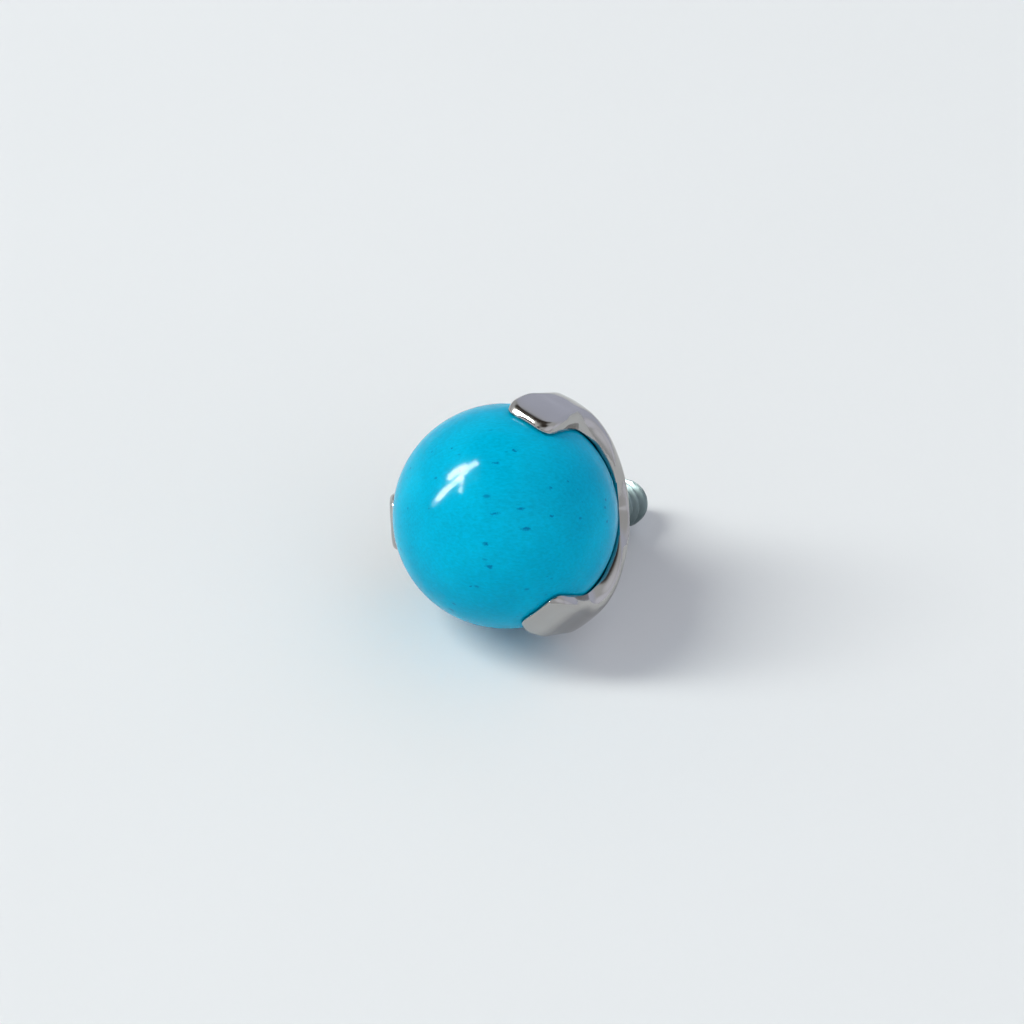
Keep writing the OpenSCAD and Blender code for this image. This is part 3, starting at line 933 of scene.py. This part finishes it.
class PIERCING_OT_stage(bpy.types.Operator):
    """Build the floor, the window light and the camera"""
    bl_idname = "piercing.stage"
    bl_label = "Stage"

    def execute(self, context):
        p = context.scene.piercing_stage
        scene = context.scene
        scene.view_settings.view_transform = "Standard"
        right, up, back = camera_axes(p)

        # The size of a pixel at the ball, and the point that is seen in the middle of the frame
        pixel = BALL_HIGH.x / (BALL_PIXELS / 2)
        middle = FRAME_PIXELS / 2
        target = BALL_AT + right * (middle - BALL_PIXEL[0]) * pixel + up * (BALL_PIXEL[1] - middle) * pixel
        camera = bpy.data.cameras.new("camera")
        camera.sensor_width = 36
        camera.lens = camera.sensor_width * p.distance / (FRAME_PIXELS * pixel)
        camera.clip_start = 0.01
        camera.clip_end = 10
        seen = bpy.data.objects.new("camera", camera)
        seen.matrix_world = Matrix.Translation(target + back * p.distance) @ Matrix(
            (right, up, back)).transposed().to_4x4()
        scene.collection.objects.link(seen)
        scene.camera = seen

        # A matt white board, which hardly varies in tone and mirrors nothing
        floor = bpy.data.meshes.new("floor")
        corners = [(x * FLOOR_HALF, y * FLOOR_HALF, 0) for x, y in ((-1, -1), (1, -1), (1, 1), (-1, 1))]
        floor.from_pydata(corners, [], [(0, 1, 2, 3)])
        material, tree, shader = new_material("matt_white_board")
        where = add_node(tree, "ShaderNodeTexCoord")
        faint = add_node(tree, "ShaderNodeTexNoise", {
            "Vector": where.outputs["Object"], "Scale": 90.0, "Detail": 2.0})
        tone = add_node(tree, "ShaderNodeMapRange", {
            "Value": faint.outputs["Fac"], "To Min": 0.985, "To Max": 1.015})
        shade = add_node(tree, "ShaderNodeVectorMath", {
            0: p.floor[:3], "Scale": tone.outputs["Result"]}, operation="SCALE")
        tree.links.new(shade.outputs["Vector"], shader.inputs["Base Color"])
        shader.inputs["Roughness"].default_value = 0.9
        shader.inputs["Specular IOR Level"].default_value = 0.0
        floor.materials.append(material)
        ground = bpy.data.objects.new("floor", floor)
        scene.collection.objects.link(ground)

        for pane in WINDOW:
            self.add_light(scene, *pane)
        scene.world = self.sky()
        return {"FINISHED"}

    @staticmethod
    def add_light(scene, name, start, end, width, radiance, lights, shows):
        """An area light that reaches from one direction to another as seen from the ball. It lights the
        scene, or only shows in what is glossy, or does both."""
        start, end = Vector(start).normalized(), Vector(end).normalized()
        away = (start + end).normalized()
        along = (end - start).normalized()
        light = bpy.data.lights.new(name, "AREA")
        light.shape = "RECTANGLE"
        light.size = 2 * LAMP_FAR * math.tan(math.radians(width) / 2)
        light.size_y = 2 * LAMP_FAR * math.tan(start.angle(end) / 2)
        light.energy = radiance * math.pi * light.size * light.size_y
        light.color = (0.98, 1.0, 0.95)
        if not lights:
            # The metal mirrors this pane but doesn't throw its light on to the floor
            light.use_nodes = True
            tree = light.node_tree
            tree.nodes.clear()
            path = add_node(tree, "ShaderNodeLightPath")
            direct = add_node(tree, "ShaderNodeMath", {
                0: path.outputs["Diffuse Depth"], 1: 0.5}, operation="LESS_THAN")
            shine = add_node(tree, "ShaderNodeEmission", {"Strength": direct.outputs["Value"]})
            add_node(tree, "ShaderNodeOutputLight", {"Surface": shine.outputs["Emission"]})
        lamp = bpy.data.objects.new(name, light)
        lamp.matrix_world = Matrix.Translation(BALL_AT + away * LAMP_FAR) @ Matrix(
            (along.cross(away), along, away)).transposed().to_4x4()
        lamp.visible_diffuse = lights
        lamp.visible_glossy = shows
        scene.collection.objects.link(lamp)

    @staticmethod
    def sky():
        """A soft studio: bright walls, a slightly lighter ceiling, and the patches that the metal mirrors."""
        world = bpy.data.worlds.new("studio")
        world.use_nodes = True
        tree = world.node_tree
        tree.nodes.clear()
        where = add_node(tree, "ShaderNodeTexCoord")
        height = add_node(tree, "ShaderNodeSeparateXYZ", {0: where.outputs["Generated"]})
        ramp = add_node(tree, "ShaderNodeMapRange", {
            "Value": height.outputs["Z"], "From Min": 0.0, "From Max": 1.0, "To Min": 0.59, "To Max": 0.65})
        wall = add_node(tree, "ShaderNodeVectorMath", {
            0: (0.98, 1.0, 1.02), "Scale": ramp.outputs["Result"]}, operation="SCALE")
        colour = wall.outputs["Vector"]
        for towards, inner, outer, tone in PATCHES:
            facing = add_node(tree, "ShaderNodeVectorMath", {
                0: where.outputs["Generated"], 1: Vector(towards).normalized()}, operation="DOT_PRODUCT")
            patch = add_node(tree, "ShaderNodeMapRange", {
                "Value": facing.outputs["Value"], "From Min": math.cos(math.radians(outer)),
                "From Max": math.cos(math.radians(inner))}, interpolation_type="SMOOTHSTEP")
            colour = add_node(tree, "ShaderNodeMix", {
                "Factor": patch.outputs["Result"], "A": colour, "B": linear(tone)},
                data_type="RGBA").outputs["Result"]
        light = add_node(tree, "ShaderNodeBackground", {"Color": colour, "Strength": 1.0})
        add_node(tree, "ShaderNodeOutputWorld", {"Surface": light.outputs["Background"]})
        return world


class PIERCING_PT_panel(bpy.types.Panel):
    """Lists the part's pieces and stage"""
    bl_idname = "PIERCING_PT_panel"
    bl_label = "Threaded piercing end"
    bl_space_type = "VIEW_3D"
    bl_region_type = "UI"
    bl_category = "Piercing end"

    def draw(self, context):
        for operator, sizes in STEPS:
            box = self.layout.box()
            box.operator(operator.bl_idname)
            values = getattr(context.scene, sizes[0])
            for name in sizes[1].__annotations__:
                box.prop(values, name)


STEPS = [
    (PIERCING_OT_stage, ("piercing_stage", PIERCING_stage_sizes)),
    (PIERCING_OT_ball, ("piercing_ball", PIERCING_ball_sizes)),
    (PIERCING_OT_setting, ("piercing_setting", PIERCING_setting_sizes)),
    (PIERCING_OT_post, ("piercing_post", PIERCING_post_sizes)),
]


def register():
    for operator, (name, sizes) in STEPS:
        bpy.utils.register_class(sizes)
        bpy.utils.register_class(operator)
        setattr(bpy.types.Scene, name, bpy.props.PointerProperty(type=sizes))
    bpy.utils.register_class(PIERCING_PT_panel)


def unregister():
    bpy.utils.unregister_class(PIERCING_PT_panel)
    for operator, (name, sizes) in reversed(STEPS):
        delattr(bpy.types.Scene, name)
        bpy.utils.unregister_class(operator)
        bpy.utils.unregister_class(sizes)


def main():
    register()
    bpy.ops.piercing.stage()
    bpy.ops.piercing.ball()
    bpy.ops.piercing.setting()
    bpy.ops.piercing.post()


if __name__ == "__main__":
    main()
